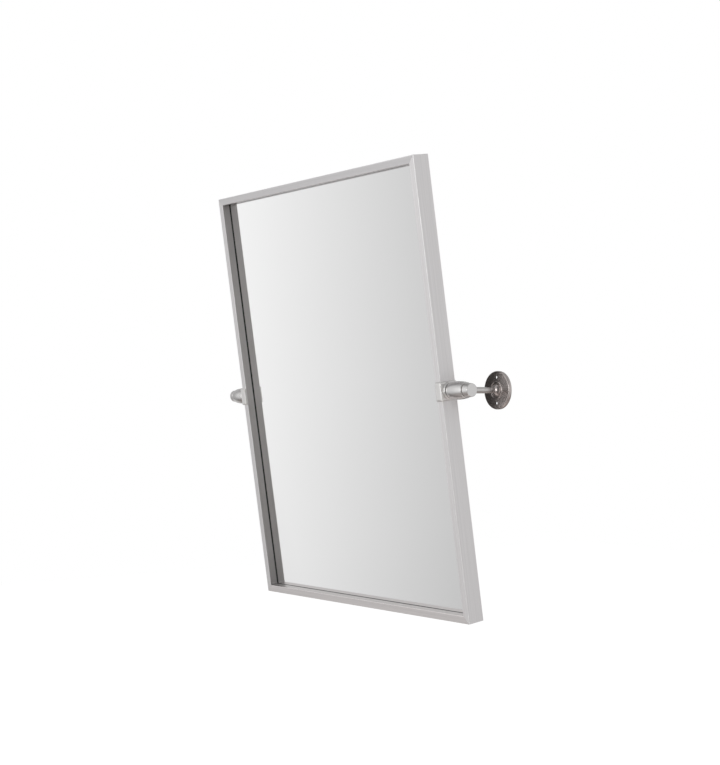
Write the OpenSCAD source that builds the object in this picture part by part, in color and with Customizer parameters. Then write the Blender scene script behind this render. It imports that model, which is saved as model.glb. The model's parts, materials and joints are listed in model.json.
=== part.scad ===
// Framed wall mirror that tilts on two side pivots, each carried by a rod and a round rosette.
// X runs to the right as one looks into the mirror, Y into the wall and Z up.
// The origin is midway between the two rosettes, in the plane of their faces, where the heads of
// the wall screws bear. The wall lies behind that plane by the height of a rosette's rim.

/* [Frame] */
// Outside width of the frame
frame_w = 610; // [400:5:900]
// Outside height of the frame
frame_h = 762; // [500:2:1000]
// Depth of the frame from front to back
frame_d = 31; // [28:0.5:45]
// Width of a rail seen from the front
rail_w = 12.5; // [11.5:0.5:18]
// Wall of the hollow rail
rail_wall = 1.5; // [1:0.1:1.8]
// Radius along the long edges of a rail
rail_edge_r = 0.6; // [0.2:0.1:1]
// Depth left behind the backing board for its clips
back_room = 7.8; // [6.5:0.1:12]
// How far that shoulder reaches over the edge of the glass
shoulder_w = 4; // [3:0.25:5]
// Length of each leg of a corner key
key_leg = 42; // [25:1:70]
// Depth of a corner key
key_d = 20; // [12:0.5:24]

/* [Pane and back] */
// Thickness of the black seal in front of the glass
seal_t = 1.8; // [1:0.1:2.8]
// Thickness of the silvered glass
pane_t = 4; // [3:0.5:5]
// Thickness of the backing board
board_t = 3; // [2:0.5:4]
// Radius of the glass's corners
pane_corner_r = 1.5; // [0.5:0.5:8]
// Radius of the board's corners
board_corner_r = 6; // [1:0.5:12]
// Gap between the edge of the glass and the rail
pane_gap = 0.7; // [0.3:0.1:1.5]
// Board clips along each tall side
clips_tall = 4; // [2:2:6]
// Board clips along each short side
clips_short = 2; // [2:1:5]
// Width of a board clip
clip_w = 14; // [10:0.5:20]
// Reach of a board clip over the board
clip_reach = 11; // [7:0.5:16]
// Thickness of the clip's sheet metal
clip_t = 1.2; // [0.8:0.1:1.6]
// Set-back of a clip's top from the back of the frame
clip_setback = 0.6; // [0.3:0.1:2]
// Radius of a clip's free corners
clip_corner_r = 3; // [1:0.5:4]
// Diameter of a clip screw
screw_d = 2.9; // [2.2:0.1:3.5]
// Diameter of a clip screw's head
screw_head_d = 5.2; // [4:0.1:5.6]
// Height of a clip screw's head
screw_head_h = 1.8; // [1.2:0.1:2.4]
// Length of a clip screw under its head
screw_len = 6.5; // [5:0.5:8]
// Width of the slots in a clip screw's head
screw_slot_w = 0.9; // [0.6:0.1:1.2]

/* [Saddle] */
// Height of the saddle along the rail
saddle_h = 31.5; // [31:0.5:50]
// Thickness of the saddle's side plate
saddle_t = 3.4; // [2.5:0.1:5]
// Thickness of the tab that hooks over the front of the frame
tab_t = 3.2; // [2:0.1:5]
// Set-back of the tab's edge from the inner edge of the rail
tab_setback = 0.4; // [0:0.1:4]
// Radius of the saddle's corners, seen from the front and from the side
saddle_corner_r = 3; // [0.8:0.1:3]
// Radius along the two upright edges at the front of the tab
tab_edge_r = 2.4; // [0.6:0.1:2.8]
// Set-back of the round boss from the edges of the side plate
boss_inset = 0.1; // [0:0.1:1.5]
// How far that boss stands off the side plate
boss_h = 4.4; // [3:0.1:7]
// Radius round the boss's rim
boss_edge_r = 2; // [0.4:0.1:2.2]

/* [Pivot] */
// Radius along the round edges of the barrel and at the foot of the cap
turned_edge_r = 0.9; // [0.4:0.1:1.2]
// Diameter of the stud that the mirror turns on
stud_d = 10; // [9:0.1:11]
// Diameter of the stud's threaded ends
stud_end_d = 8; // [6:0.1:8.4]
// Diameter of the stud's collar
collar_d = 18; // [14:0.5:22]
// Thickness of the stud's collar
collar_t = 2; // [1.5:0.1:2.6]
// Width of the key socket in the stud's tip, across its flats
key_socket_af = 4; // [2.5:0.5:4.5]
// Depth of that socket
key_socket_depth = 4; // [2:0.5:6]
// Length of the nut plate inside the side rail
nut_plate_h = 40; // [24:1:60]
// Width of the nut plate inside the side rail
nut_plate_w = 24; // [16:0.5:26]
// Wall of the bush round the stud
bush_wall = 1.5; // [0.8:0.1:2]
// Diameter of the inner washer
inner_washer_d = 26.8; // [22:0.1:27.6]
// Thickness of the inner washer
inner_washer_t = 1.2; // [0.8:0.1:4]
// Diameter of the outer washer
outer_washer_d = 23.2; // [18:0.1:25]
// Thickness of the outer washer
outer_washer_t = 0.9; // [0.8:0.1:2.5]

/* [Barrel and end cap] */
// Length of the barrel
barrel_len = 36.6; // [30:0.1:60]
// Diameter of the barrel beside the frame
barrel_foot_d = 27.8; // [25:0.1:29.4]
// Largest diameter of the barrel
barrel_belly_d = 29.8; // [28.2:0.1:34]
// Diameter of the barrel at its outer end
barrel_tip_d = 25.9; // [22:0.1:28]
// Length of the end cap
cap_len = 11.65; // [10:0.05:20]
// Diameter of the end cap beside the barrel
cap_foot_d = 24; // [22:0.1:26]
// Diameter of the end cap at its outer end
cap_tip_d = 21.6; // [17:0.1:22]
// Radius round the end cap's flat face
cap_round_r = 0.8; // [0.4:0.1:3.5]
// Depth of thread inside the end cap
cap_thread_depth = 8; // [5:0.1:8.6]
// Gap between the stud's tip and the bottom of that thread
stud_tip_gap = 0.5; // [0.2:0.1:1.5]

/* [Rod] */
// Diameter of the rod
rod_d = 10.4; // [8:0.1:10.6]
// Distance of the rod's centre line from the barrel's outer end
rod_inset = 5.75; // [5.6:0.05:20]
// Depth of the flat that the rod's shoulder seats on
rod_seat_depth = 1.2; // [0.8:0.1:2]
// Diameter of the rod's threaded front end
rod_front_d = 8; // [5:0.1:8.6]
// Metal left between the rod's threaded hole and the barrel's bore
rod_hole_floor = 0.6; // [0.4:0.1:2]
// Diameter of the rod's threaded tail
rod_tail_d = 6; // [4:0.1:6.6]

/* [Rosette] */
// Diameter of the rosette
rosette_d = 62.2; // [56:0.1:80]
// Height of the rosette's rim
rim_h = 5.7; // [5.5:0.1:9]
// Radius round the front edge of the rim
rim_round_r = 2; // [0.5:0.1:3]
// Wall of the hollow rosette
shell_t = 2; // [1.2:0.1:2.2]
// Diameter of the dome at the rosette's face
dome_d = 20.8; // [19:0.1:22]
// Height of the dome above that face, before the rod's socket is cut into it
dome_h = 8; // [5.4:0.1:9]
// Diameter of the raised ring round the dome
ring_d = 26.6; // [26:0.1:32]
// Radius of the raised ring's section
ring_r = 1.4; // [1.2:0.1:1.6]
// How far the raised ring stands off the rosette's face
ring_rise = 1.2; // [0.6:0.1:1.2]
// Height of the rod socket's floor above the rosette's face
socket_floor_h = 1.8; // [1.2:0.1:2]
// Thickness of the web under that floor
web_t = 2; // [1.5:0.1:2.1]
// Radius of the pocket for the rod nut
pocket_r = 8; // [6.8:0.1:10]
// Diameter of the screw holes
hole_d = 5; // [4:0.1:8]
// Distance between the two screw holes
hole_spacing = 42; // [40:0.5:46]
// Width of the rod nut across its flats
nut_af = 10; // [8:0.1:11]
// Height of the rod nut
nut_h = 3.8; // [3:0.1:4]
// Thickness of the spring washer
spring_washer_t = 1.2; // [0.8:0.1:1.3]
// Width of the split in the spring washer
split_w = 1; // [0.4:0.1:1.6]

/* [Pose and clearances] */
// Tilt of the mirror's top away from the wall
tilt = 8; // [3:0.5:12]
// Gap left between the frame's lowest back edge and the wall at that tilt
wall_clear = 3.6; // [1:0.1:60]
// Gap between two mitred ends
mitre_gap = 0.1; // [0.05:0.05:0.4]
// Gap round a piece that is slipped into or over another
slip_gap = 0.15; // [0.05:0.05:0.3]
// Gap between two faces that turn past each other
face_gap = 0.15; // [0.1:0.05:0.3]
// Radial gap round the stud in its bush
running_gap = 0.05; // [0.02:0.01:0.1]

/* [Hidden] */
$fn = 96;
over = 1;
half_d = frame_d / 2;
box_w = rail_w - shoulder_w;
chamber_w = box_w - 2 * rail_wall;
clip_front = half_d - back_room;
board_front = clip_front - board_t;
pane_front = board_front - pane_t;
seal_front = pane_front - seal_t;
shoulder_depth = seal_front + half_d;
clip_h = back_room - clip_setback;
clip_hole_y = clip_front + (clip_h + clip_t) / 2;
pane_inset = box_w + pane_gap;
screw_slot_len = screw_head_d / 2;
nut_chamfer_h = nut_h / 6;

boss_face = saddle_t + boss_h;
boss_d = min(frame_d, saddle_h) - 2 * boss_inset;
barrel_start = boss_face + inner_washer_t + face_gap;
barrel_end = barrel_start + barrel_len;
cap_start = barrel_end + face_gap + outer_washer_t;
cap_end = cap_start + cap_len;
stud_tip = cap_start + cap_thread_depth - stud_tip_gap;
collar_start = boss_face - collar_t - slip_gap;
nut_plate_t = chamber_w - 2 * slip_gap;
bore_d = stud_d + 2 * (running_gap + bush_wall);
belly_share = sqrt((barrel_belly_d - barrel_foot_d) / (barrel_belly_d - barrel_tip_d));
belly_at = barrel_len * belly_share / (1 + belly_share);
belly_rise = (barrel_belly_d - barrel_foot_d) / 2;
belly_curve_r = (pow(belly_at, 2) + pow(belly_rise, 2)) / (2 * belly_rise);

wall_y = rim_h;
pivot_out = frame_h / 2 * sin(tilt) + half_d * cos(tilt) + wall_clear;
rod_x = frame_w / 2 + barrel_end - rod_inset;
rod_seat = barrel_tip_d / 2 - rod_seat_depth;
rod_hole_end = bore_d / 2 + rod_hole_floor;
rod_front_len = rod_seat - rod_hole_end - slip_gap;
dome_top = rim_h + dome_h;
dome_curve_r = (pow(dome_h, 2) + pow(dome_d / 2, 2)) / (2 * dome_h);
web_front = rim_h + socket_floor_h;
web_back = web_front - web_t;
tail_end = web_back - spring_washer_t - nut_h - slip_gap;

// Each side of the frame: its name, its turn, how far out it lies, its length and its clips
frame_sides = [
    ["bottom", 0, frame_h / 2, frame_w, clips_short],
    ["top", 180, frame_h / 2, frame_w, clips_short],
    ["right", -90, frame_w / 2, frame_h, clips_tall],
    ["left", 90, frame_w / 2, frame_h, clips_tall]
];

nickel = [0.78, 0.77, 0.76];
black = [0.10, 0.10, 0.10];
steel = [0.62, 0.62, 0.63];
silvered = [0.86, 0.89, 0.90];
dark_board = [0.17, 0.16, 0.16];

// ---- placing ----

// Puts a piece of the mirror, drawn upright about the pivot axis, at its tilt in front of the wall
module tilted() {
    level() rotate([tilt, 0, 0]) children();
}

// Puts a piece that stands still beside the pivot axis, drawn about that axis
module level() {
    translate([0, wall_y - pivot_out, 0]) children();
}

// Turns a piece drawn at the bottom of the frame to the named side
module on_side(side) {
    rotate([0, side[1], 0]) translate([0, 0, -side[2]]) children();
}

// Mirrors a right-hand piece for the left
module left_hand() {
    mirror([1, 0, 0]) children();
}

// Lays a revolved piece along the pivot axis, out from the right side of the frame
module along_pivot(start) {
    translate([frame_w / 2 + start, 0, 0]) rotate([0, 90, 0]) children();
}

// Stands a revolved piece on the wall, nose to the room, where the right rosette is
module off_wall(height) {
    translate([rod_x, wall_y - height, 0]) rotate([90, 0, 0]) children();
}

// ---- small shapes ----

// What is taken off a square corner at the origin to round it, with the body towards +x and +y
module corner_bit(r) {
    difference() {
        translate([-over, -over]) square(r + over);
        translate([r, r]) circle(r);
    }
}

module rounded_rect(w, h, r) {
    difference() {
        square([w, h], center = true);
        for (sx = [-1, 1], sy = [-1, 1])
            to_corner(sx, sy) translate([-w / 2, -h / 2]) corner_bit(r);
    }
}

// Carries a lower left corner to any of the four corners
module to_corner(sx, sy) {
    mirror([sx > 0 ? 1 : 0, 0]) mirror([0, sy > 0 ? 1 : 0]) children();
}

module ring(outer_d, inner_d, h) {
    difference() {
        cylinder(d = outer_d, h = h);
        translate([0, 0, -over]) cylinder(d = inner_d, h = h + 2 * over);
    }
}

// ---- frame ----

// Section of a rail: x goes from its outer face inwards, y from front to back
module rail_section() {
    difference() {
        union() {
            translate([0, -half_d]) square([box_w, frame_d]);
            translate([0, -half_d]) square([rail_w, shoulder_depth]);
        }
        translate([rail_wall, -half_d + rail_wall]) square([chamber_w, frame_d - 2 * rail_wall]);
        translate([box_w, -half_d + rail_wall])
            square([shoulder_w - rail_wall, shoulder_depth - 2 * rail_wall]);
        translate([0, -half_d]) corner_bit(rail_edge_r);
        translate([rail_w, -half_d]) mirror([1, 0]) corner_bit(rail_edge_r);
        translate([0, half_d]) mirror([0, 1]) corner_bit(rail_edge_r);
    }
}

// A bar with the given inset and width whose ends meet the next bar at 45 degrees
module mitred(len, inset, width, depth) {
    long_half = len / 2 - inset - mitre_gap / sqrt(2);
    rotate([90, 0, 0])
        linear_extrude(depth, center = true)
            polygon([[-long_half, inset], [long_half, inset],
                     [long_half - width, inset + width], [-long_half + width, inset + width]]);
}

module rail(len) {
    color(nickel) intersection() {
        rotate([0, -90, 0]) linear_extrude(len, center = true) rail_section();
        mitred(len, 0, rail_w, frame_d + 2 * over);
    }
}

// The clips' places along a side, spread evenly over its length
module clip_places(side) {
    count = side[4];
    for (i = [0 : count - 1])
        translate([(i - (count - 1) / 2) * side[3] / count, 0, 0]) children();
}

module clip_screw_places(side) {
    clip_places(side) translate([0, clip_hole_y, box_w]) children();
}

module frame_rail(side) {
    on_side(side) difference() {
        rail(side[3]);
        clip_screw_places(side) translate([0, 0, -rail_wall - over])
            cylinder(d = screw_d + slip_gap, h = rail_wall + 2 * over);
    }
}

// A tall side has a hole for the pivot stud in its outer wall as well
module side_rail(side) {
    difference() {
        frame_rail(side);
        on_side(side) translate([0, 0, -over])
            cylinder(d = stud_end_d + 2 * slip_gap, h = rail_wall + 2 * over);
    }
}

// L-shaped key that lies in the rear boxes of two rails at a corner
module corner_key(right, top) {
    key_t = chamber_w - 2 * slip_gap;
    in = rail_wall + slip_gap;
    color(steel) mirror([right ? 1 : 0, 0, 0]) mirror([0, 0, top ? 1 : 0])
        translate([-frame_w / 2 + in, 0, -frame_h / 2 + in])
            rotate([90, 0, 0])
                linear_extrude(key_d, center = true)
                    difference() {
                        union() {
                            square([key_leg, key_t]);
                            square([key_t, key_leg]);
                        }
                        corner_bit(rail_wall);
                    }
}

// ---- pane and back ----

module seal(side) {
    color(black) on_side(side)
        translate([0, seal_front + seal_t / 2, 0])
            mitred(side[3], box_w + slip_gap, shoulder_w - slip_gap, seal_t);
}

module sheet(front, thickness, inset, r) {
    translate([0, front + thickness / 2, 0]) rotate([90, 0, 0])
        linear_extrude(thickness, center = true)
            rounded_rect(frame_w - 2 * inset, frame_h - 2 * inset, r);
}

module mirror_pane() {
    color(silvered) sheet(pane_front, pane_t, pane_inset, pane_corner_r);
}

module backing_board() {
    color(dark_board) sheet(board_front, board_t, pane_inset + slip_gap, board_corner_r);
}

// Angle clip: its foot lies on the board and its leg stands against the rail
module board_clip() {
    translate([0, clip_front, box_w + slip_gap]) difference() {
        translate([-clip_w / 2, 0, 0]) rotate([90, 0, 90]) linear_extrude(clip_w) difference() {
            square([clip_h, clip_reach]);
            translate([clip_t, clip_t]) square([clip_h, clip_reach]);
            corner_bit(clip_t / 2);
        }
        translate([0, clip_hole_y - clip_front, -over])
            cylinder(d = screw_d + 2 * slip_gap, h = clip_t + 2 * over);
        for (s = [0, 1]) mirror([s, 0, 0])
            translate([-clip_w / 2, clip_t / 2, clip_reach]) rotate([-90, 0, 0])
                linear_extrude(clip_t + over, center = true) corner_bit(clip_corner_r);
    }
}

module board_clips() {
    color(steel) for (side = frame_sides) on_side(side) clip_places(side) board_clip();
}

// Pan-head screw with a cross slot, along +z from under its head at the origin
module pan_screw() {
    difference() {
        union() {
            translate([0, 0, -screw_len]) cylinder(d = screw_d, h = screw_len);
            rotate_extrude() intersection() {
                translate([0, screw_head_h - screw_head_d]) circle(screw_head_d);
                square([screw_head_d / 2, screw_head_h]);
            }
        }
        for (turn = [0, 90]) rotate([0, 0, turn])
            translate([-screw_slot_len / 2, -screw_slot_w / 2, screw_head_h / 2])
                cube([screw_slot_len, screw_slot_w, screw_head_h]);
    }
}

module clip_screws() {
    color(steel) for (side = frame_sides) on_side(side) clip_screw_places(side)
        translate([0, 0, slip_gap + clip_t]) pan_screw();
}

// ---- pivot pieces that tilt ----

module saddle_plan() {
    difference() {
        translate([-rail_w + tab_setback, -half_d - tab_t])
            square([rail_w - tab_setback + saddle_t, tab_t + frame_d]);
        translate([-rail_w - over, -half_d]) square([rail_w + over, frame_d + over]);
        translate([saddle_t, -half_d - tab_t]) mirror([1, 0]) corner_bit(tab_edge_r);
        translate([-rail_w + tab_setback, -half_d - tab_t]) corner_bit(tab_edge_r);
        translate([saddle_t, half_d]) mirror([1, 0]) mirror([0, 1]) corner_bit(saddle_t / 2);
    }
}

module saddle() {
    depth = frame_d + tab_t;
    reach = rail_w - tab_setback + saddle_t;
    color(nickel) difference() {
        union() {
            intersection() {
                translate([frame_w / 2, 0, 0]) linear_extrude(saddle_h, center = true) saddle_plan();
                translate([frame_w / 2, -tab_t / 2, 0]) rotate([90, 0, 90])
                    linear_extrude(2 * (rail_w + saddle_t), center = true)
                        rounded_rect(depth, saddle_h, saddle_corner_r);
                translate([frame_w / 2 + saddle_t - reach / 2, 0, 0]) rotate([90, 0, 0])
                    linear_extrude(2 * depth, center = true)
                        rounded_rect(reach, saddle_h, saddle_corner_r);
            }
            along_pivot(0) rotate_extrude() difference() {
                square([boss_d / 2, boss_face]);
                translate([boss_d / 2, boss_face]) rotate([0, 0, 180]) corner_bit(boss_edge_r);
            }
        }
        along_pivot(-over) cylinder(d = stud_end_d + 2 * slip_gap, h = boss_face + 2 * over);
        along_pivot(collar_start) cylinder(d = collar_d + 2 * slip_gap, h = collar_t + slip_gap + over);
    }
}

module nut_plate() {
    color(steel) translate([frame_w / 2 - rail_wall - slip_gap - nut_plate_t, 0, 0]) difference() {
        translate([nut_plate_t / 2, 0, 0])
            cube([nut_plate_t, nut_plate_w, nut_plate_h], center = true);
        rotate([0, 90, 0]) translate([0, 0, -over])
            cylinder(d = stud_end_d + 2 * running_gap, h = nut_plate_t + 2 * over);
    }
}

// Stud: threaded into the nut plate, collar sunk in the saddle, plain shank, threaded end for the cap
module stud() {
    tip_back = -rail_wall - slip_gap - nut_plate_t;
    color(steel) difference() {
        union() {
            along_pivot(tip_back) cylinder(d = stud_end_d, h = stud_tip - tip_back);
            along_pivot(collar_start) cylinder(d = collar_d, h = collar_t);
            along_pivot(collar_start) cylinder(d = stud_d, h = cap_start - collar_start);
        }
        along_pivot(stud_tip - key_socket_depth)
            cylinder(d = key_socket_af / cos(30), h = key_socket_depth + over, $fn = 6);
    }
}

module inner_washer() {
    color(black) along_pivot(boss_face)
        ring(inner_washer_d, stud_d + 2 * slip_gap, inner_washer_t);
}

module outer_washer() {
    color(black) along_pivot(cap_start - outer_washer_t)
        ring(outer_washer_d, stud_d + 2 * slip_gap, outer_washer_t);
}

// End cap: a straight taper that runs tangent into the round edge of its flat face
module end_cap() {
    foot_r = cap_foot_d / 2;
    cx = cap_tip_d / 2 - cap_round_r;
    cz = cap_len - cap_round_r;
    rise = foot_r - cx;
    lean = acos(cap_round_r / sqrt(rise * rise + cz * cz)) - atan2(cz, rise);
    color(nickel) along_pivot(cap_start) difference() {
        rotate_extrude() difference() {
            union() {
                polygon([[0, 0], [foot_r, 0],
                         [cx + cap_round_r * cos(lean), cz + cap_round_r * sin(lean)],
                         [cx, cz], [cx, cap_len], [0, cap_len]]);
                translate([cx, cz]) intersection() {
                    circle(cap_round_r);
                    square(cap_round_r);
                }
            }
            translate([foot_r, 0]) mirror([1, 0]) corner_bit(turned_edge_r);
        }
        translate([0, 0, -over]) cylinder(d = stud_end_d + 2 * running_gap, h = cap_thread_depth + over);
    }
}

// ---- wall brackets ----

// Barrel: its side is one arc, thickest at the belly, bored for the bush and spot-faced for the rod
module barrel() {
    color(nickel) difference() {
        along_pivot(barrel_start) rotate_extrude() difference() {
            intersection() {
                translate([bore_d / 2, 0]) square([barrel_belly_d / 2, barrel_len]);
                translate([barrel_belly_d / 2 - belly_curve_r, belly_at]) circle(belly_curve_r, $fn = 360);
            }
            translate([barrel_foot_d / 2, 0]) mirror([1, 0]) corner_bit(turned_edge_r);
            translate([barrel_tip_d / 2, barrel_len]) rotate([0, 0, 180]) corner_bit(turned_edge_r);
        }
        translate([rod_x, rod_seat, 0]) rotate([-90, 0, 0])
            cylinder(d = rod_d + 2 * slip_gap, h = barrel_belly_d);
        translate([rod_x, rod_hole_end, 0]) rotate([-90, 0, 0])
            cylinder(d = rod_front_d + 2 * running_gap, h = barrel_belly_d);
    }
}

module bush() {
    color(black) along_pivot(barrel_start)
        ring(bore_d - 2 * running_gap, stud_d + 2 * running_gap, barrel_len);
}

module rod() {
    front = pivot_out - rod_seat;
    color(nickel) {
        off_wall(web_front) cylinder(d = rod_d, h = front - web_front);
        off_wall(front) cylinder(d = rod_front_d, h = rod_front_len);
        off_wall(tail_end) cylinder(d = rod_tail_d, h = web_front - tail_end);
    }
}

// Half section of the rosette: x is the radius, y the height off the wall
module rosette_section() {
    r = rosette_d / 2;
    difference() {
        union() {
            difference() {
                square([r, rim_h]);
                translate([r, rim_h]) rotate([0, 0, 180]) corner_bit(rim_round_r);
            }
            intersection() {
                square([dome_d / 2, dome_top]);
                translate([0, dome_top - dome_curve_r]) circle(dome_curve_r);
            }
            translate([ring_d / 2, rim_h + ring_rise - ring_r]) circle(ring_r);
        }
        translate([-over, -over]) square([pocket_r + over, web_back + over]);
        translate([pocket_r - over, -over])
            square([r - shell_t - pocket_r + over, rim_h - shell_t + over]);
        translate([-over, web_front]) square([over + rod_d / 2 + slip_gap, dome_top]);
        translate([-over, -over]) square([over + rod_tail_d / 2 + running_gap, dome_top]);
    }
}

module rosette() {
    color(nickel) difference() {
        off_wall(0) rotate_extrude() rosette_section();
        for (s = [-1, 1]) translate([0, 0, s * hole_spacing / 2]) off_wall(-over)
            cylinder(d = hole_d, h = rim_h + 2 * over);
    }
}

module spring_washer() {
    color(steel) off_wall(web_back - spring_washer_t) difference() {
        ring(nut_af, rod_tail_d + 2 * slip_gap, spring_washer_t);
        translate([0, -split_w / 2, -over]) cube([nut_af, split_w, spring_washer_t + 2 * over]);
    }
}

module rod_nut() {
    color(steel) off_wall(web_back - spring_washer_t - nut_h) difference() {
        intersection() {
            cylinder(d = nut_af / cos(30), h = nut_h, $fn = 6);
            rotate_extrude() polygon([[0, 0], [nut_af / 2, 0], [nut_af / 2 / cos(30), nut_chamfer_h],
                                      [nut_af / 2 / cos(30), nut_h], [0, nut_h]]);
        }
        translate([0, 0, -over]) cylinder(d = rod_tail_d + 2 * running_gap, h = nut_h + 2 * over);
    }
}

tilted() frame_rail(frame_sides[1]);  // top_rail
tilted() frame_rail(frame_sides[0]);  // bottom_rail
tilted() side_rail(frame_sides[3]);  // left_rail
tilted() side_rail(frame_sides[2]);  // right_rail
tilted() corner_key(false, false);  // lower_left_key
tilted() corner_key(true, false);  // lower_right_key
tilted() corner_key(false, true);  // upper_left_key
tilted() corner_key(true, true);  // upper_right_key
tilted() mirror_pane();
tilted() seal(frame_sides[1]);  // top_seal
tilted() seal(frame_sides[0]);  // bottom_seal
tilted() seal(frame_sides[3]);  // left_seal
tilted() seal(frame_sides[2]);  // right_seal
tilted() backing_board();
tilted() board_clips();
tilted() clip_screws();
tilted() left_hand() saddle();  // left_saddle
tilted() saddle();  // right_saddle
tilted() left_hand() nut_plate();  // left_nut_plate
tilted() nut_plate();  // right_nut_plate
tilted() left_hand() stud();  // left_stud
tilted() stud();  // right_stud
tilted() left_hand() inner_washer();  // left_inner_washer
tilted() inner_washer();  // right_inner_washer
tilted() left_hand() outer_washer();  // left_outer_washer
tilted() outer_washer();  // right_outer_washer
tilted() left_hand() end_cap();  // left_end_cap
tilted() end_cap();  // right_end_cap
left_hand() level() barrel();  // left_barrel
level() barrel();  // right_barrel
left_hand() level() bush();  // left_bush
level() bush();  // right_bush
left_hand() rod();  // left_rod
rod();  // right_rod
left_hand() rosette();  // left_rosette
rosette();  // right_rosette
left_hand() spring_washer();  // left_spring_washer
spring_washer();  // right_spring_washer
left_hand() rod_nut();  // left_rod_nut
rod_nut();  // right_rod_nut
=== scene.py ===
# %% [markdown]
# # A tilting wall mirror in satin nickel
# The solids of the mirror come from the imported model: every rail, washer and rosette is already in its
# place, in metres. This lesson gives them their finishes, hangs them in a plain studio and sets up the
# camera. X runs to the right as one looks into the mirror, Y goes into the wall, Z is up.

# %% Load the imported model
import json
from math import cos, pi, radians, sin

import bpy
import numpy as np
from mathutils import Euler, Matrix, Vector

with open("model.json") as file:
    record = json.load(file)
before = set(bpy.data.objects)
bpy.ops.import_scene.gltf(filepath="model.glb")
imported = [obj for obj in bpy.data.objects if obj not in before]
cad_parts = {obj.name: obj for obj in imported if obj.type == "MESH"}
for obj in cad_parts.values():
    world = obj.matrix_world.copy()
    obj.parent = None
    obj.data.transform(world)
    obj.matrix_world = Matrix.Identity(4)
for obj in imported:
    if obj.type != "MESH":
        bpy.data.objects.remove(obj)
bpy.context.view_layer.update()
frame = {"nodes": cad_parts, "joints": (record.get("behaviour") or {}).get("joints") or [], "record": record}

# %% [markdown]
# ## The camera
# The photograph looks at the mirror from the right, almost level with its pivots, through a long lens.
# A camera is three things: where it stands, which way it is turned, and how long its lens is. The turn is
# given as yaw, pitch and roll, from which the three axes of the camera follow. The lens is worked out from
# its length in pixels, because a sensor 36 mm wide always spans the picture's longer side.

# %% Set up the camera
PICTURE_WIDTH, PICTURE_HEIGHT = 720, 765
LENS_IN_PIXELS = 1527.19
SENSOR = 36.0
STAND = Vector((2.2211, -1.6155, -0.0325))
YAW, PITCH, ROLL = radians(54.367), radians(1.09), radians(-0.506)
NEAREST, FURTHEST = 0.05, 100


def camera_axes(yaw, pitch, roll):
    """Right, up and back: forward is turned left by yaw and up by pitch, then the frame rolls round it."""
    forward = Vector((-sin(yaw) * cos(pitch), cos(yaw) * cos(pitch), sin(pitch)))
    level = Vector((cos(yaw), sin(yaw), 0))
    upright = level.cross(forward)
    right = level * cos(roll) + upright * sin(roll)
    top = upright * cos(roll) - level * sin(roll)
    return right, top, -forward


camera = bpy.data.objects.new("camera", bpy.data.cameras.new("camera"))
bpy.context.scene.collection.objects.link(camera)
turn = Matrix(camera_axes(YAW, PITCH, ROLL)).transposed()
camera.matrix_world = Matrix.Translation(STAND) @ turn.to_4x4()
camera.data.sensor_width = SENSOR
camera.data.lens = LENS_IN_PIXELS * SENSOR / max(PICTURE_WIDTH, PICTURE_HEIGHT)
camera.data.clip_start, camera.data.clip_end = NEAREST, FURTHEST
bpy.context.scene.camera = camera
bpy.context.scene.view_settings.view_transform = "Standard"
print("lens in mm:", round(camera.data.lens, 2))

# %% [markdown]
# ## Arithmetic with nodes
# A finish is a sum of small effects: a grain, a smudge, a change of tone. Written as nodes, such sums are
# long. A small class wraps a node's output, so that adding or multiplying two readings adds the Math node
# for it, and everything else is made by one method that takes the node's type, settings and inputs.


# %% A reading
class Reading:
    """The output of a node. Plain arithmetic on it adds Math nodes."""

    def __init__(self, tree, socket):
        self.tree, self.socket = tree, socket

    def math(self, operation, *terms):
        """A Math node with these terms as its inputs."""
        return self.tree.node("ShaderNodeMath", {"operation": operation}, dict(enumerate(terms)))

    def __add__(self, other):
        return self.math("ADD", self, other)

    def __sub__(self, other):
        return self.math("SUBTRACT", self, other)

    def __rsub__(self, other):
        return self.math("SUBTRACT", other, self)

    def __mul__(self, other):
        return self.math("MULTIPLY", self, other)

    def __pow__(self, other):
        return self.math("POWER", self, other)

    def __abs__(self):
        return self.math("ABSOLUTE", self)

    __radd__, __rmul__ = __add__, __mul__

    def or_more(self, other):
        """The greater of two readings."""
        return self.math("MAXIMUM", self, other)

    def output(self, name):
        """Another output of the same node."""
        return Reading(self.tree, self.socket.node.outputs[name])


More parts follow.
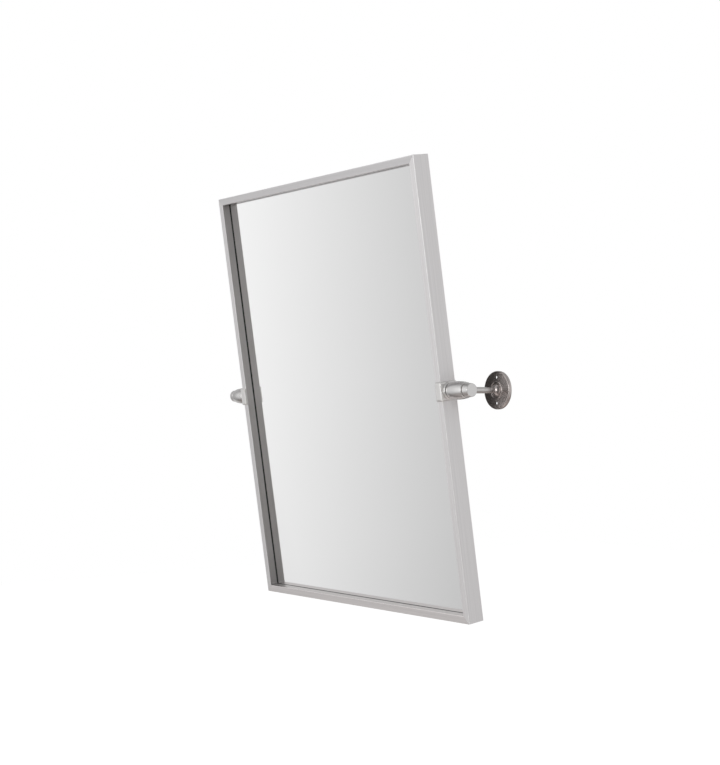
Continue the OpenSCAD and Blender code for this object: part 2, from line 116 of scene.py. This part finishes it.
# %% The tree that the nodes go into
class Tree:
    """A node tree that starts empty. node() is the one way to put something in it."""

    def __init__(self, owner):
        owner.use_nodes = True
        self.nodes, self.links = owner.node_tree.nodes, owner.node_tree.links
        self.nodes.clear()

    def node(self, kind, settings=None, inputs=None, output=0):
        """Adds a node of this kind, with its settings first, then the values or links of its inputs. Gives a
        reading of the output asked for, or the node itself if it has none."""
        made = self.nodes.new(kind)
        for name, value in (settings or {}).items():
            if name == "stops":
                self.set_stops(made.color_ramp, value)
            else:
                setattr(made, name, value)
        for name, value in (inputs or {}).items():
            if isinstance(value, Reading):
                self.links.new(value.socket, made.inputs[name])
            else:
                made.inputs[name].default_value = value
        return Reading(self, made.outputs[output]) if len(made.outputs) else made

    @staticmethod
    def set_stops(ramp, stops):
        """Puts greys at their places along a colour ramp, which starts with two stops of its own."""
        for place, _ in stops[2:]:
            ramp.elements.new(place)
        for element, (place, grey) in zip(ramp.elements, sorted(stops)):
            element.position, element.color = place, (grey, grey, grey, 1)

    def noise(self, point, scale, detail=2.0, roughness=0.5):
        """Noise from -1 to 1 about 0. scale is how many bumps there are to a metre: one number for all
        three axes, or one for each."""
        each_way = scale if isinstance(scale, tuple) else (scale,) * 3
        stretched = self.node(
            "ShaderNodeVectorMath", {"operation": "MULTIPLY"}, {0: point, 1: each_way}
        )
        wave = self.node(
            "ShaderNodeTexNoise", None,
            {"Vector": stretched, "Scale": 1.0, "Detail": detail, "Roughness": roughness},
        )
        return wave * 2 - 1

    def rise(self, value, start, end, top=1.0):
        """0 where the value is at start or before it, top from end on, and a straight ramp between."""
        return self.node(
            "ShaderNodeMapRange", None, {"Value": value, "From Min": start, "From Max": end, "To Max": top}
        )

    def tinted(self, colour, tone):
        """A colour made lighter or darker by a reading about 1."""
        return self.node(
            "ShaderNodeVectorMath", {"operation": "SCALE"}, {0: colour, "Scale": tone}
        )

    def between(self, share, first, second):
        """A colour from first at 0 to second at 1. The Mix node's colour sockets are inputs 6 and 7 and
        output 2."""
        return self.node(
            "ShaderNodeMix", {"data_type": "RGBA"}, {0: share, 6: first, 7: second}, 2
        )


# %% [markdown]
# ## Measuring the solids
# Some finishes change at an edge, a hole or a ledge, so the script has to know where these are. The places
# could be typed in, but they would stay behind when the model's sizes change. So the frame's sizes are
# measured on the solids, and those of the screw holes are read from the record. The mirror hangs tilted by
# 8 degrees, so its corners are first turned back upright about its pivot.

# %% Sizes of the frame and of the screw holes
MM = 0.001
PIVOT = Vector(frame["joints"][0]["pos_m"])
TILT = radians(8)
UNTILT = Euler((-TILT, 0, 0))


def upright_box(name):
    """The least and greatest x, y and z of a solid's corners p: the extremes of R(-tilt) (p - pivot)."""
    mesh = frame["nodes"][name].data
    corners = np.empty(3 * len(mesh.vertices), np.float32)
    mesh.vertices.foreach_get("co", corners)
    turned = (corners.reshape(-1, 3) - np.array(PIVOT)) @ np.array(UNTILT.to_matrix()).T
    return turned.min(0).tolist(), turned.max(0).tolist()


rail_low, rail_high = upright_box("right_rail")
HALF_WIDTH, HALF_DEPTH = rail_high[:2]
RAIL_WIDTH = HALF_WIDTH - rail_low[0]
HALF_HEIGHT = upright_box("top_rail")[1][2]
BARREL_MOUTH = upright_box("right_inner_washer")[1][0]
print("frame in mm:", [round(2 * half / MM, 1) for half in (HALF_WIDTH, HALF_DEPTH, HALF_HEIGHT)])
print("rail", round(RAIL_WIDTH / MM, 1), "mm wide, barrel's mouth at", round(BARREL_MOUTH / MM, 1), "mm")

screws = next(mount["dims"] for mount in frame["record"]["mounts"] if mount["name"] == "wall_screws")
ROD_OUT, HOLE_OUT = screws["spacing_x_mm"] * MM / 2, screws["spacing_y_mm"] * MM / 2
HOLE_RADIUS = screws["hole_r_mm"] * MM
print("rods at", round(ROD_OUT / MM, 1), "mm, holes at", round(HOLE_OUT / MM, 1), "mm from them")

# %% [markdown]
# ## Where the grain runs
# Brushing and turning leave their marks along the tool's path: straight along a rail, and in rings round
# a turned piece. The solids lie in one frame, so the grain needs no unwrapping and can be read straight
# from Object coordinates. For a turned piece, each point is given as its place along the axis and its
# distance from it, so that lines of noise become rings.


# %% Points in the mirror's own frame and round an axis
def plain_point(tree):
    """The point as the model is packed, in metres."""
    return tree.node("ShaderNodeTexCoord", output="Object")


def upright_point(tree):
    """The point about the pivot with the tilt undone: R(-tilt) (p - pivot)."""
    return tree.node(
        "ShaderNodeMapping", None,
        {"Vector": plain_point(tree), "Rotation": tuple(UNTILT),
         "Location": tuple(-(UNTILT.to_matrix() @ PIVOT))},
    )


def parts_of(tree, point):
    """The x, y and z of a point."""
    x = tree.node("ShaderNodeSeparateXYZ", None, {0: point})
    return x, x.output("Y"), x.output("Z")


def distance(across, along):
    """sqrt(across^2 + along^2)."""
    return (across * across + along * along) ** 0.5


def rings_about_pivot(tree):
    """(along the pivot axis, distance from it, 0) of a point, in metres."""
    x, y, z = parts_of(tree, upright_point(tree))
    return tree.node("ShaderNodeCombineXYZ", None, {0: x, 1: distance(y, z), 2: 0.0})


def rings_about_rod(tree):
    """(along the rod, distance from its axis, 0): both rods at once, because |x| folds left onto right."""
    x, y, z = parts_of(tree, plain_point(tree))
    return tree.node("ShaderNodeCombineXYZ", None, {0: y, 1: distance(abs(x) - ROD_OUT, z), 2: 0.0})


# %% [markdown]
# ## Finishes
# Every finish ends in one surface shader. Only its colour, roughness and normal change from place to
# place; metal is metal all over. A finish could be one flat colour, but under soft light it is the small
# changes that tell brushed nickel from paint.

# %% Finish a surface
METAL = 1.0


def finish(name, dress, metallic=0.0):
    """Makes a material; dress(tree) returns its colour, roughness and normal."""
    material = bpy.data.materials.new(name)
    tree = Tree(material)
    colour, roughness, normal = dress(tree)
    surface = tree.node(
        "ShaderNodeBsdfPrincipled", None,
        {"Base Color": colour, "Roughness": roughness, "Metallic": metallic, "Normal": normal},
    )
    tree.node("ShaderNodeOutputMaterial", None, {"Surface": surface})
    print("finish:", name, len(tree.nodes), "nodes")
    return material


def relief(tree, height, depth):
    """A normal from the slopes of a height, of which a step of 1 is depth metres high."""
    return tree.node("ShaderNodeBump", None, {"Height": height, "Strength": 1.0, "Distance": depth})


# %% [markdown]
# ## Satin nickel
# Satin nickel is a warm pale grey with a soft sheen. Its brushing shows as hair lines that are a little
# lighter, darker, rougher or smoother than their neighbours, with broader streaks among them, and over all
# lie the faint smudges of handling. Two masks do the rest: one that darkens the colour (painted shade in
# holes and corners, and a darker ledge), and one that paints a highlight on edges and makes them smoother.

# %% Nickel from its grain and its masks
SMUDGES = 14
HAIR_TONE, STREAK_TONE, SMUDGE_TONE = 0.05, 0.04, 0.012
HAIR_ROUGHNESS, STREAK_ROUGHNESS, SMUDGE_ROUGHNESS = 0.05, 0.03, 0.02
STREAK_RELIEF = 0.5
# Tone and roughness moved by the dark mask (painted shade, a darker ledge) and by the painted highlight
DARK_TONE, DARK_ROUGHNESS = 0.82, 0.25
BRIGHT_TONE, BRIGHT_ROUGHNESS = 0.40, 0.12


def nickel(colour, dullness, depth, place, hair, streak, contrast=1.0, dark=None, bright=None):
    """Satin nickel. dullness is its roughness before the grain: 0 is a mirror, 1 is chalk. place(tree) gives
    the point; hair and streak are the grain's bumps to a metre, depth is how deep they are in metres, and
    contrast how strongly they show in the tone. dark(tree) and bright(tree) are the two masks: 1 where the
    nickel is darkened (painted shade in holes and corners) or gets a painted highlight, 0 elsewhere."""

    def dress(tree):
        point = place(tree)
        fine = tree.noise(point, hair, detail=3.0, roughness=0.6)
        broad = tree.noise(point, streak)
        smudge = tree.noise(plain_point(tree), SMUDGES, detail=3.0)
        tone = 1 + (fine * HAIR_TONE + broad * STREAK_TONE) * contrast + smudge * SMUDGE_TONE
        roughness = dullness + fine * HAIR_ROUGHNESS + broad * STREAK_ROUGHNESS + smudge * SMUDGE_ROUGHNESS
        # dark darkens the colour: painted shade in holes and corners, and a darker ledge
        if dark:
            dull = dark(tree)
            tone, roughness = tone * (1 - dull * DARK_TONE), roughness + dull * DARK_ROUGHNESS
        # bright lightens the colour as a painted highlight, and makes it smoother
        if bright:
            highlighted = bright(tree)
            tone, roughness = tone * (1 + highlighted * BRIGHT_TONE), roughness - highlighted * BRIGHT_ROUGHNESS
        return tree.tinted(colour, tone), roughness, relief(tree, fine + broad * STREAK_RELIEF, depth)

    return dress


# %% [markdown]
# ## Painted highlights and shade on the rails
# The long edges of the rails get a painted highlight, and the front of the right rail a fainter one. The
# ledge under the glass is made darker, and the inner walls of the upright rails get painted shade towards
# their corners. Each place is picked out by where it lies in the upright frame. A face is picked out by the
# thin skin of metal under it, so that the mask doesn't reach the faces behind. Each pair of lengths below
# says how far from its place a mask is still 0, and from how near it is full.

# %% A mask for the long edges
EDGE_FADE = (1.1 * MM, 0.4 * MM)
FRONT_SKIN = (0.4 * MM, 0.1 * MM)


def long_edges(axis, outside, front_highlight=0.0):
    """The mask of a painted highlight: 1 along the long edges of the rails across the named axis, fading out
    within about a millimetre, and the share given as the last argument on the front faces between them. In a
    rail's section u = ||p| - middle| - width / 2 and v = |y| - depth / 2, and the distance from an edge is
    sqrt(u^2 + v^2)."""

    def mask(tree):
        parts = dict(zip("xyz", parts_of(tree, upright_point(tree))))
        u = abs(abs(parts[axis]) - (outside - RAIL_WIDTH / 2)) - RAIL_WIDTH / 2
        v = abs(parts["y"]) - HALF_DEPTH
        edges = tree.rise(distance(u, v), *EDGE_FADE)
        front = tree.rise(parts["y"], *(skin - HALF_DEPTH for skin in FRONT_SKIN), front_highlight)
        return edges.or_more(front)

    return mask


# Masks of painted highlights: the rails' long edges, and the right rail's front as well
level_edges, upright_edges = long_edges("z", HALF_HEIGHT), long_edges("x", HALF_WIDTH)
highlit_front = long_edges("x", HALF_WIDTH, front_highlight=0.25)
print("edges fade out", round(EDGE_FADE[0] / MM, 1), "mm away")

# %% Masks for the ledge and the corners
WALL_SKIN = (0.6 * MM, 0.2 * MM)
LEDGE = RAIL_WIDTH - HALF_HEIGHT
INNER_WALL = HALF_WIDTH - RAIL_WIDTH
# How much darker the bottom rail's ledge is made
LEDGE_DARKENING = 0.14
# Painted shade in the corners of the upright rails' inner walls
CORNER_SHADE = 0.36


def ledge(tree):
    """Darkens the bottom rail's ledge under the glass by the share set above: a ramp of z in the skin
    below its level.
    """
    _, _, z = parts_of(tree, upright_point(tree))
    return tree.rise(z, *(LEDGE - skin for skin in WALL_SKIN), LEDGE_DARKENING)


def corners(tree):
    """Painted shade: 0 halfway up the inner walls of the upright rails, rising as (z / half height)^2 to the
    share set above in their corners; 0 off those walls, by a ramp of |x| in their skin."""
    x, _, z = parts_of(tree, upright_point(tree))
    inside = tree.rise(abs(x), *(INNER_WALL + skin for skin in WALL_SKIN), CORNER_SHADE)
    return inside * (z * z * HALF_HEIGHT ** -2)


print("ledge at", round(LEDGE / MM, 1), "mm, inner walls at", round(INNER_WALL / MM, 1), "mm")

# %% [markdown]
# ## The rails
# The four rails are cut from one length and brushed along it. Each has its own colour, set apart as
# painted light and shade: the top rail darker, the bottom one a little warmer. One material with a mask for
# each side would do, but the rails are separate solids, so a material each is simpler. The level pair and
# the upright pair differ in the direction of the grain, and the front of the right rail gets a painted
# highlight.

# %% Nickel for the rails
# Lit and shaded copies of one nickel: each rail's colour is painted light and shade, the top one darkest
BOTTOM_SATIN = (0.757, 0.724, 0.718)
SHADED_TOP_SATIN = (0.664, 0.65, 0.656)
UPRIGHT_SATIN = (0.75, 0.735, 0.738)
RAIL_CONTRAST = 2.4
LEVEL_BRUSHING = {"dullness": 0.36, "depth": 6e-6, "hair": (9, 2600, 2600), "streak": (3, 420, 420)}
UPRIGHT_BRUSHING = {"dullness": 0.42, "depth": 9e-6, "hair": (2600, 2600, 9), "streak": (420, 420, 3)}


def rail_nickel(name, colour, brushing, **masks):
    """Nickel brushed along a rail, with stronger marks than a turned piece has."""
    dress = nickel(colour, place=upright_point, contrast=RAIL_CONTRAST, **brushing, **masks)
    return finish(name, dress, METAL)


top_rail_nickel = rail_nickel("top_rail_nickel", SHADED_TOP_SATIN, LEVEL_BRUSHING, bright=level_edges)
bottom_rail_nickel = rail_nickel(
    "bottom_rail_nickel", BOTTOM_SATIN, LEVEL_BRUSHING, dark=ledge, bright=level_edges
)
left_rail_nickel = rail_nickel(
    "left_rail_nickel", UPRIGHT_SATIN, UPRIGHT_BRUSHING, dark=corners, bright=upright_edges
)
right_rail_nickel = rail_nickel(
    "right_rail_nickel", UPRIGHT_SATIN, UPRIGHT_BRUSHING, dark=corners, bright=highlit_front
)

# %% [markdown]
# ## The turned pieces
# Barrels, end caps and bosses are turned about the pivot axis, rods and rosettes about the rod's, so their
# grain runs in rings. A wave texture could draw these, but noise read by distance gives rings as uneven as
# a lathe leaves them. The barrels and the right cap are polished smoothest, the left cap is duller and the
# saddles are rougher. The saddles are painted paler, as painted light, and the rods and rosettes darker, as
# painted shade, with more painted shade in the rosettes' screw holes. The barrel's mouth and the ridge of
# the saddle's tab get a painted highlight.

# %% Masks for the mouth, the ridge and the screw holes
MOUTH_FADE = (4 * MM, 1 * MM)
RIDGE = (HALF_WIDTH + 2.7 * MM, HALF_DEPTH + 2.5 * MM)
RIDGE_FADE = (2.6 * MM, 1.4 * MM)
# Strength of the painted highlight on the tab's ridge
RIDGE_SHINE = 0.45
BORE_FADE = (0.6 * MM, 0.1 * MM)


def barrel_mouth(tree):
    """A painted highlight: 1 at the barrel's mouth, fading to 0 over its first 4 mm: a ramp of |x|."""
    x, _, _ = parts_of(tree, plain_point(tree))
    return tree.rise(abs(x), *(BARREL_MOUTH + fade for fade in MOUTH_FADE))


def tab_ridge(tree):
    """A painted highlight of RIDGE_SHINE along the middle of the tab's rounded outer corner, which stands
    2.7 mm outside the rail and 2.5 mm before it, fading out within 2.6 mm: a ramp of
    sqrt((|x| - ridge x)^2 + (y + ridge y)^2)."""
    x, y, _ = parts_of(tree, upright_point(tree))
    return tree.rise(distance(abs(x) - RIDGE[0], y + RIDGE[1]), *RIDGE_FADE, RIDGE_SHINE)


def screw_bores(tree):
    """Painted shade: 1 inside the screw holes, fading to 0 within 0.6 mm of their rims. |x| and |z| fold the
    four holes onto one, and the distance is sqrt((|x| - rod)^2 + (|z| - hole)^2)."""
    x, _, z = parts_of(tree, plain_point(tree))
    from_middle = distance(abs(x) - ROD_OUT, abs(z) - HOLE_OUT)
    return tree.rise(from_middle, *(HOLE_RADIUS + fade for fade in BORE_FADE))


print("tab's ridge at", [round(place / MM, 1) for place in RIDGE], "mm")

# %% Nickel for the turned pieces
# SATIN is the nickel itself. The saddles' paler copy is painted light; the rods' and rosettes' are painted
# shade.
SATIN = (0.70, 0.69, 0.685)
LIT_SADDLE_SATIN = (0.82, 0.81, 0.80)
SHADED_ROSETTE_SATIN = (0.545, 0.50, 0.485)
SHADED_ROD_SATIN = (0.655, 0.638, 0.63)
RING_HAIR, RING_STREAK = (4200, 4200, 0), (700, 700, 0)


def turned_nickel(name, colour, place, dullness, depth=6e-6, **masks):
    """Nickel with its grain in rings, about the axis that place(tree) measures from."""
    return finish(name, nickel(colour, dullness, depth, place, RING_HAIR, RING_STREAK, **masks), METAL)


pivot_nickel = turned_nickel("pivot_nickel", SATIN, rings_about_pivot, dullness=0.24, bright=barrel_mouth)
dull_nickel = turned_nickel("dull_nickel", SATIN, rings_about_pivot, dullness=0.40)
saddle_nickel = turned_nickel(
    "saddle_nickel", LIT_SADDLE_SATIN, rings_about_pivot, dullness=0.42, bright=tab_ridge
)
rod_nickel = turned_nickel("rod_nickel", SHADED_ROD_SATIN, rings_about_rod, dullness=0.26)
# The rosettes get painted shade in their screw holes
rosette_nickel = turned_nickel(
    "rosette_nickel", SHADED_ROSETTE_SATIN, rings_about_rod, dullness=0.26, depth=3e-6, dark=screw_bores
)

# %% [markdown]
# ## The glass
# The pane is silvered glass, seen from its front. It could be made as clear glass over a layer of silver,
# but from here that looks the same as a single mirror, which renders without noise. So it is a nearly
# perfect mirror that keeps back a little of the light, with the slightest film and haze on it.

# %% Silvered glass
GLASS_GREY = (0.92, 0.92, 0.92)
GLASS_DULLNESS = 0.012
GLASS_FILM, GLASS_HAZE = 9, 60
FILM_STRENGTH = 0.004
GLASS_RIPPLE = 4e-7


def silvered(tree):
    """A grey mirror: the film changes its tone, and film and haze its roughness."""
    film = tree.noise(plain_point(tree), GLASS_FILM, detail=4.0)
    haze = tree.noise(plain_point(tree), GLASS_HAZE)
    colour = tree.tinted(GLASS_GREY, 1 + film * FILM_STRENGTH)
    roughness = GLASS_DULLNESS + haze * FILM_STRENGTH + film * FILM_STRENGTH
    return colour, roughness, relief(tree, film, GLASS_RIPPLE)


silvered_glass = finish("silvered_glass", silvered, METAL)

# %% [markdown]
# ## The board behind the glass
# The board is pressed fibre with a black face, through which the mat of short fibres still shows. Fibres
# could be drawn one by one, but two noises stretched across each other already give such a mat, and a slow
# cloud under them keeps the face from looking printed.

# %% Fibre board
FIBRES_UP, FIBRES_ACROSS = (900, 900, 260), (260, 900, 900)
BOARD_CLOUD = 16
BOARD_DARK, BOARD_LIGHT = (0.022, 0.021, 0.020, 1), (0.052, 0.049, 0.046, 1)
FIBRE_SHARE, CLOUD_SHARE = 0.35, 0.3
BOARD_DULLNESS, FIBRE_ROUGHNESS = 0.72, 0.08
FIBRE_RELIEF = 4e-5


def fibre_board(tree):
    """Dark to light by the sum of two mats of fibres that cross and a slow cloud."""
    point = upright_point(tree)
    fibres = tree.noise(point, FIBRES_UP, detail=4.0, roughness=0.7)
    cross = tree.noise(point, FIBRES_ACROSS, detail=4.0, roughness=0.7)
    cloud = tree.noise(point, BOARD_CLOUD, detail=3.0)
    share = 0.5 + fibres * FIBRE_SHARE + cross * FIBRE_SHARE + cloud * CLOUD_SHARE
    colour = tree.between(share, BOARD_DARK, BOARD_LIGHT)
    return colour, BOARD_DULLNESS + cross * FIBRE_ROUGHNESS, relief(tree, fibres + cross, FIBRE_RELIEF)


black_board = finish("black_board", fibre_board)

# %% [markdown]
# ## Seals and washers
# The seals are black rubber, and the washers and bushes nylon: black next to the mirror, and grey under the
# end caps. All are moulded, with one colour and fine pores, so one function makes the three. Rubber is
# duller than nylon, and its pores are wider.

# %% Rubber and nylon
PORE_TONE, PORE_ROUGHNESS, PORE_DEPTH = 0.25, 0.06, 1.2e-5


def moulded(colour, dullness, to_a_metre):
    """One colour with fine pores, so many of them to a metre."""

    def dress(tree):
        pores = tree.noise(plain_point(tree), to_a_metre, detail=3.0, roughness=0.6)
        tone = 1 + pores * PORE_TONE
        roughness = dullness + pores * PORE_ROUGHNESS
        return tree.tinted(colour, tone), roughness, relief(tree, pores, PORE_DEPTH)

    return dress


black_rubber = finish("black_rubber", moulded((0.016, 0.016, 0.017), dullness=0.62, to_a_metre=900))
black_nylon = finish("black_nylon", moulded((0.024, 0.024, 0.026), dullness=0.42, to_a_metre=1400))
grey_nylon = finish("grey_nylon", moulded((0.155, 0.135, 0.125), dullness=0.42, to_a_metre=1400))

# %% [markdown]
# ## Small hardware
# Clips, screws, keys, nuts and studs are zinc plated. Fresh zinc is cooler than nickel, with a mottled
# surface that shifts between bluish and yellowish. Real spangle is a pattern of crystals, but on pieces this
# small a slow noise between the two colours looks the same.

# %% Zinc plate
ZINC_SPANGLE, ZINC_FILM = 420, 90
BLUE_ZINC, YELLOW_ZINC = (0.60, 0.62, 0.66, 1), (0.67, 0.66, 0.62, 1)
ZINC_DULLNESS, SPANGLE_ROUGHNESS, FILM_ROUGHNESS = 0.36, 0.07, 0.05
SPANGLE_RELIEF = 8e-6


def zinc(tree):
    """Bluish to yellowish by the film, rougher or smoother by film and spangle."""
    spangle = tree.noise(plain_point(tree), ZINC_SPANGLE)
    film = tree.noise(plain_point(tree), ZINC_FILM, detail=3.0)
    colour = tree.between(0.5 + film * 0.5, BLUE_ZINC, YELLOW_ZINC)
    roughness = ZINC_DULLNESS + spangle * SPANGLE_ROUGHNESS + film * FILM_ROUGHNESS
    return colour, roughness, relief(tree, spangle, SPANGLE_RELIEF)


zinc_plate = finish("zinc_plate", zinc, METAL)

# %% [markdown]
# ## Dressing the solids
# Each node's name says what it is, so a short table from the end of a name to a finish dresses all forty.
# The first line that matches counts, which is why the left cap stands before the caps. A node that no line
# matches would stop the script, so nothing is left bare.

# %% Give each node its finish
FINISH_BY_NAME = {
    "top_rail": top_rail_nickel, "bottom_rail": bottom_rail_nickel,
    "left_rail": left_rail_nickel, "right_rail": right_rail_nickel,
    "_saddle": saddle_nickel, "_barrel": pivot_nickel,
    "left_end_cap": dull_nickel, "_end_cap": pivot_nickel,
    "_rod": rod_nickel, "_rosette": rosette_nickel,
    "mirror_pane": silvered_glass, "backing_board": black_board, "_seal": black_rubber,
    "_inner_washer": black_nylon, "_outer_washer": grey_nylon, "_bush": black_nylon,
    "_key": zinc_plate, "board_clips": zinc_plate, "clip_screws": zinc_plate,
    "_nut_plate": zinc_plate, "_stud": zinc_plate, "_spring_washer": zinc_plate,
    "_rod_nut": zinc_plate,
}


def finish_for(name):
    """The finish of the first line that the end of a node's name matches."""
    return next(material for ending, material in FINISH_BY_NAME.items() if name.endswith(ending))


for name, piece in frame["nodes"].items():
    piece.data.materials.clear()
    piece.data.materials.append(finish_for(name))
print("dressed:", len(frame["nodes"]))

# %% [markdown]
# ## The studio
# Metal and mirror show the room, not themselves, so the room is most of the picture. The backdrop is white
# to the eye of the camera. What the metal sees is a pale studio whose walls are not equally bright: lighter
# and darker stretches round the horizon, fading above and below, which give the satin its shape. It could
# be built from lamps and screens, but a world that only glossy rays read makes no noise and lights nothing
# else. It starts as two ramps, one over the compass and one over the height, multiplied. Compass angles
# are in degrees: 0 is straight out from the mirror's face, and 90 is to the left of one who looks into it.
# The height is the z of the direction, from -1 straight down to 1 straight up. A brightness of 1 is white.

# %% Light and dark round the horizon
WALLS = {
    -180: 0.70, -150: 0.74, -122: 0.82, -95: 0.80, -76: 0.38, -66: 0.18, -52: 0.13, -42: 0.34, -28: 0.76,
    -5: 0.80, 12: 0.84, 21: 1.15, 28: 1.42, 33: 1.14, 39: 0.84, 46: 1.12, 50: 0.63, 60: 1.06, 64: 0.66,
    68: 0.45, 76: 0.49, 92: 0.60, 122: 0.54, 150: 0.66, 180: 0.70,
}
HEIGHTS = {
    -1.0: 1.1, -0.9: 0.95, -0.76: 0.55, -0.5: 0.44, -0.34: 0.72, -0.24: 0.84, -0.14: 0.92, 0.0: 1.0,
    0.35: 1.0, 0.55: 0.84, 0.7: 0.7, 1.0: 0.7,
}
BRIGHTEST_STOP = 1.8

world = bpy.data.worlds.new("studio")
bpy.context.scene.world = world
sky = Tree(world)
look = sky.node("ShaderNodeTexCoord", output="Generated")
east, north, up = parts_of(sky, look)
compass = east.math("ARCTAN2", east * -1, north * -1) * (0.5 / pi) + 0.5


def level_along(share, table, low, high):
    """A ramp of grey through a table's levels, as share runs from 0 at low to 1 at high. A stop holds no
    more than 1, so the levels are divided by the brightest one allowed and multiplied back."""
    stops = [((at - low) / (high - low), level / BRIGHTEST_STOP) for at, level in table.items()]
    return sky.node("ShaderNodeValToRGB", {"stops": stops}, {0: share}) * BRIGHTEST_STOP


glow = level_along(compass, WALLS, -180, 180) * level_along(up * 0.5 + 0.5, HEIGHTS, -1, 1)
print("walls from", min(WALLS.values()), "to", max(WALLS.values()))

# %% [markdown]
# ## Soft boxes
# A dome or a belly gathers its small bright spots from small patches of the room, which a ramp over the
# whole compass can't make. So three round soft boxes are added to the walls. Each is picked out by the
# angle between the direction looked in and the direction of its middle, and needs no lamp and no mesh.

# %% Hang the soft boxes
SOFT_BOXES = [
    {"azimuth": -22, "height": 6, "half": 11, "fade": 5, "level": 3.6},
    {"azimuth": -97, "height": -32, "half": 16, "fade": 8, "level": 0.8},
    {"azimuth": 98, "height": -21, "half": 10, "fade": 6, "level": 0.42},
]


def soft_box(azimuth, height, half, fade, level):
    """A round soft box on the walls. azimuth and height place its middle, half is half its width, and fade
    is how soft its rim is, all in degrees. With d the direction looked in and m the one of its middle, the
    brightness rises from 0 to level as d . m goes from cos(half + fade) to cos(half - fade)."""
    bearing, lift = radians(azimuth), radians(height)
    middle = (-sin(bearing) * cos(lift), -cos(bearing) * cos(lift), sin(lift))
    facing = sky.node("ShaderNodeVectorMath", {"operation": "DOT_PRODUCT"}, {0: look, 1: middle}, "Value")
    return sky.rise(facing, cos(radians(half + fade)), cos(radians(half - fade)), level)


for box in SOFT_BOXES:
    glow = glow + soft_box(**box)
print("soft boxes:", len(SOFT_BOXES))

# %% [markdown]
# ## Tints, fill and backdrop
# Light Path tells the kinds of ray apart, so one world serves them all. Rays from the camera, and those
# through clear things, see plain white. Glossy rays see the walls, a little warmer towards the floor and
# a little browner on one stretch of wall, as a room is. All other rays get the same even fill.

# %% Tints, fill and backdrop
WHITE = (1, 1, 1, 1)
FLOOR_TINT, WALL_TINT = (1.0, 0.92, 0.885, 1), (1.0, 0.97, 0.91, 1)
FLOOR_TINT_FROM, FLOOR_TINT_FULL = -0.34, -0.56
BROWN_WALL = {"azimuth": -59, "height": -8, "half": 24, "fade": 9, "level": 1.0}
FILL = 0.55

camera_ray = sky.node("ShaderNodeLightPath", output="Is Camera Ray")
glossy_ray = camera_ray.output("Is Glossy Ray")
clear_ray = camera_ray.or_more(camera_ray.output("Is Transmission Ray"))
strength = clear_ray.or_more(glossy_ray * glow + (1 - glossy_ray) * FILL)
downward = sky.rise(up, FLOOR_TINT_FROM, FLOOR_TINT_FULL)
hue = sky.between(downward * glossy_ray, WHITE, FLOOR_TINT)
hue = sky.between(soft_box(**BROWN_WALL) * glossy_ray, hue, WALL_TINT)
backdrop = sky.node("ShaderNodeBackground", None, {"Color": hue, "Strength": strength})
sky.node("ShaderNodeOutputWorld", None, {"Surface": backdrop})
print("studio:", len(sky.nodes), "nodes, fill", FILL)

# %% [markdown]
# ## The floor
# The floor is a pale sheet well below the mirror, where a bathroom floor would be. To the camera it is as
# white as the backdrop, apart from the shadow that falls on it, and metal looks through it to the studio.
# To look white by its paint alone, it would need more light than the mirror can bear, so a glow that only
# the camera sees makes up the difference.

# %% Lay the floor
FLOOR_DOWN = 1.35
FLOOR_HALF = 9.0
FLOOR_PAINT, SHADOW_PAINT = (0.82, 0.82, 0.82, 1), (0.42, 0.42, 0.42, 1)
FLOOR_GLOW = 0.80


def flat_sheet(name, half, height, cells=8):
    """A level grid: (x, y) on an even square grid, z the same everywhere."""
    line = np.linspace(-half, half, cells + 1)
    x, y = np.meshgrid(line, line, indexing="ij")
    points = np.stack([x, y, np.full_like(x, height)], -1).reshape(-1, 3)
    corner = (np.arange(cells)[:, None] * (cells + 1) + np.arange(cells)).ravel()
    faces = np.stack([corner, corner + cells + 1, corner + cells + 2, corner + 1], -1)
    mesh = bpy.data.meshes.new(name)
    mesh.from_pydata(points.tolist(), [], faces.tolist())
    sheet = bpy.data.objects.new(name, mesh)
    bpy.context.scene.collection.objects.link(sheet)
    return sheet


floor = flat_sheet("floor", FLOOR_HALF, -FLOOR_DOWN)
pale = bpy.data.materials.new("pale_floor")
paint = Tree(pale)
ray = paint.node("ShaderNodeLightPath", output="Is Camera Ray")
matt = paint.node("ShaderNodeBsdfDiffuse", None, {"Color": FLOOR_PAINT})
faint = paint.node("ShaderNodeBsdfDiffuse", None, {"Color": SHADOW_PAINT})
shine = paint.node("ShaderNodeEmission", None, {"Color": WHITE, "Strength": FLOOR_GLOW})
to_camera = paint.node("ShaderNodeAddShader", None, {0: faint, 1: shine})
solid = paint.node("ShaderNodeMixShader", None, {0: ray, 1: matt, 2: to_camera})
nothing = paint.node("ShaderNodeBsdfTransparent")
cover = paint.node("ShaderNodeMixShader", None, {0: ray.output("Is Glossy Ray"), 1: solid, 2: nothing})
paint.node("ShaderNodeOutputMaterial", None, {"Surface": cover})
floor.data.materials.append(pale)
print("floor at", -FLOOR_DOWN)

# %% [markdown]
# ## The lamps
# Three big soft lamps light what is not metal: the board, the seals and the floor. One small lamp would do
# for that, but its shadows would be hard. The metal has its light from the walls already, and would show the
# lamps as bright squares, so it doesn't mirror them.

# %% Hang the lamps
LAMPS = {
    "lamp_left_front": {"place": (-1.6, -2.2, 1.9), "size": 1.8, "watts": 70},
    "lamp_right_front": {"place": (2.6, -1.4, 1.4), "size": 1.6, "watts": 35},
    "lamp_behind": {"place": (-0.6, 2.4, 1.7), "size": 1.8, "watts": 55},
}


def soft_lamp(name, place, size, watts):
    """A square lamp, size metres wide, at a place in metres, aimed at the pivot; metal doesn't mirror it."""
    lamp = bpy.data.objects.new(name, bpy.data.lights.new(name, "AREA"))
    lamp.data.size, lamp.data.energy = size, watts
    lamp.location = place
    lamp.rotation_euler = (PIVOT - Vector(place)).to_track_quat("-Z", "Y").to_euler()
    lamp.visible_glossy = False
    bpy.context.scene.collection.objects.link(lamp)
    print(name, "hangs", round((PIVOT - Vector(place)).length, 2), "m from the pivot")


for name, settings in LAMPS.items():
    soft_lamp(name, **settings)
